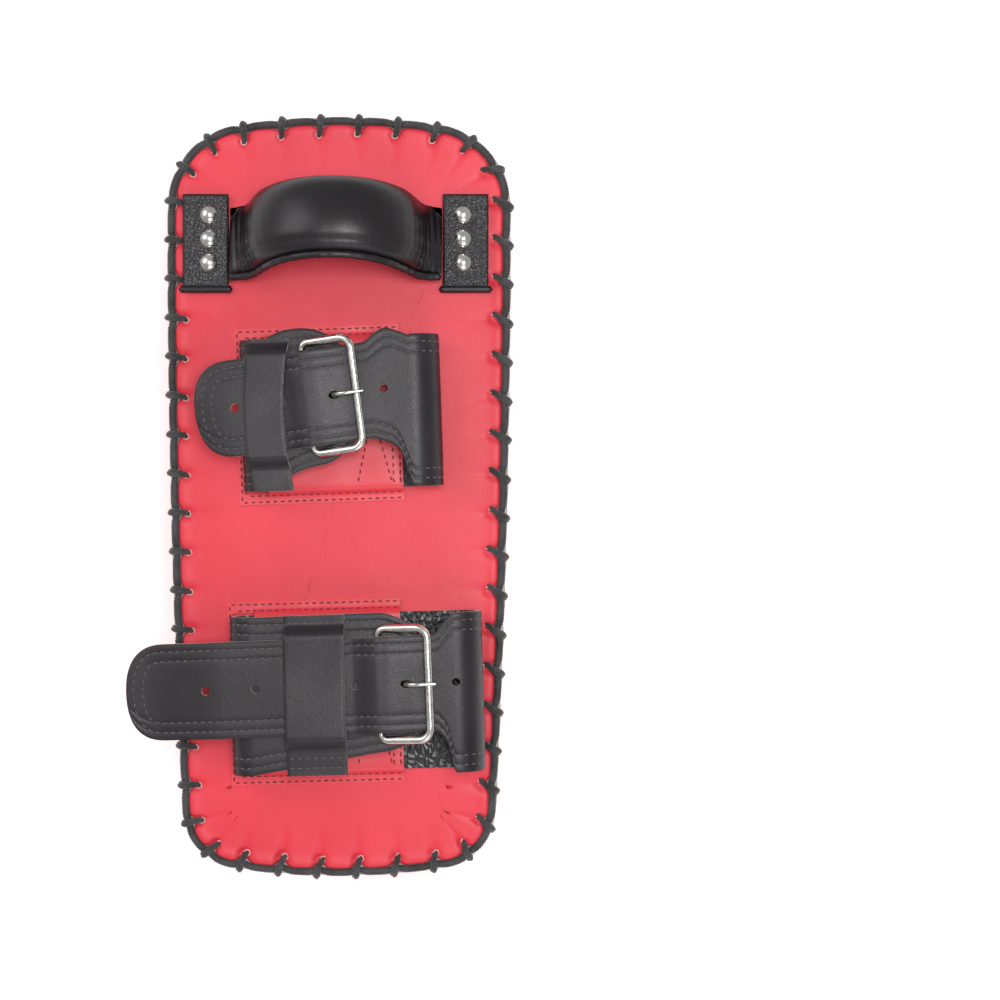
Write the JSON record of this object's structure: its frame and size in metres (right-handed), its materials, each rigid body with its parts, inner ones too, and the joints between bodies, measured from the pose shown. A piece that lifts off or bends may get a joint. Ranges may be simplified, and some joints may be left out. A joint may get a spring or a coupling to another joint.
{
  "type": "thai pad",
  "caption": "Long padded strike pad with a laced back panel, an arched top handle and buckled arm straps.",
  "frame": {"origin": "centre of the strike face, on the surface that the pad lies on", "axes": "+Y along the pad towards the handle, +Z out of the back, +X across the pad"},
  "size_m": [0.2023, 0.4054, 0.1391],
  "materials": {
    "red_leather": "smooth semi-gloss red leather",
    "black_leather": "smooth semi-gloss black leather",
    "embossed_leather": "pebbled black leather",
    "pale_edge": "raw cream leather edge",
    "navy_binding": "navy binding tape with pale stitching",
    "lace": "braided dark lace",
    "foam": "closed-cell foam",
    "nickel": "polished nickel"
  },
  "bodies": {
    "root": {"front_cover": "red_leather", "back_cover": "red_leather", "welt_strip": "pale_edge", "edge_binding": "navy_binding", "edge_lace": "lace", "lace_stitches": "lace", "strike_foam": "foam", "middle_foam": "foam", "back_foam": "foam", "handle_sleeve": "black_leather", "handle_core": "foam", "handle_piping": "black_leather", "handle_tab_left": "embossed_leather", "handle_tab_right": "embossed_leather", "handle_rivets_left": "nickel", "handle_rivets_right": "nickel", "rivet_washers_left": "nickel", "rivet_washers_right": "nickel", "upper_base_strap": "black_leather", "upper_red_patch": "red_leather", "upper_buckle_fold": "black_leather", "upper_tip_fold": "black_leather", "lower_base_strap": "black_leather", "lower_red_patch": "red_leather", "lower_buckle_fold": "black_leather", "lower_tip_fold": "black_leather"},
    "upper_band": {"upper_buckle_strap": "black_leather", "upper_tip_strap": "black_leather", "upper_keeper": "black_leather"},
    "upper_buckle": {"upper_buckle_frame": "nickel"},
    "upper_prong": {"upper_buckle_prong": "nickel"},
    "upper_tip": {"upper_strap_tip": "black_leather"},
    "lower_band": {"lower_buckle_strap": "black_leather", "lower_tip_strap": "black_leather", "lower_keeper": "black_leather"},
    "lower_buckle": {"lower_buckle_frame": "nickel"},
    "lower_prong": {"lower_buckle_prong": "nickel"},
    "lower_tip": {"lower_strap_tip": "black_leather"}
  },
  "joints": [
    {"name": "upper_loop_lift", "type": "slide", "parent": "root", "child": "upper_band", "axis": [0, 0, 1], "range_m": [0, 0.035], "deforming": ["upper_buckle_fold", "upper_tip_fold"]},
    {"name": "upper_buckle_pivot", "type": "hinge", "parent": "upper_band", "child": "upper_buckle", "pos_m": [-0.01458, 0.05067, 0.11336], "axis": [0.1305, -0.9914, 0], "range_deg": [0, 6]},
    {"name": "upper_prong_pivot", "type": "hinge", "parent": "upper_buckle", "child": "upper_prong", "pos_m": [-0.01458, 0.05067, 0.11336], "axis": [0.1305, -0.9914, 0], "range_deg": [0, 5]},
    {"name": "upper_tip_flex", "type": "hinge", "parent": "upper_band", "child": "upper_tip", "pos_m": [-0.05057, 0.04593, 0.11395], "axis": [-0.1305, 0.9914, 0], "range_deg": [0, 45]},
    {"name": "lower_loop_lift", "type": "slide", "parent": "root", "child": "lower_band", "axis": [0, 0, 1], "range_m": [0, 0.035], "deforming": ["lower_buckle_fold", "lower_tip_fold"]},
    {"name": "lower_buckle_pivot", "type": "hinge", "parent": "lower_band", "child": "lower_buckle", "pos_m": [0.02251, -0.09754, 0.11336], "axis": [0.0384, -0.9993, 0], "range_deg": [0, 6]},
    {"name": "lower_prong_pivot", "type": "hinge", "parent": "lower_buckle", "child": "lower_prong", "pos_m": [0.02251, -0.09754, 0.11336], "axis": [0.0384, -0.9993, 0], "range_deg": [0, 5]},
    {"name": "lower_tip_flex", "type": "hinge", "parent": "lower_band", "child": "lower_tip", "pos_m": [-0.03295, -0.09967, 0.11395], "axis": [-0.0384, 0.9993, 0], "range_deg": [0, 45]}
  ]
}
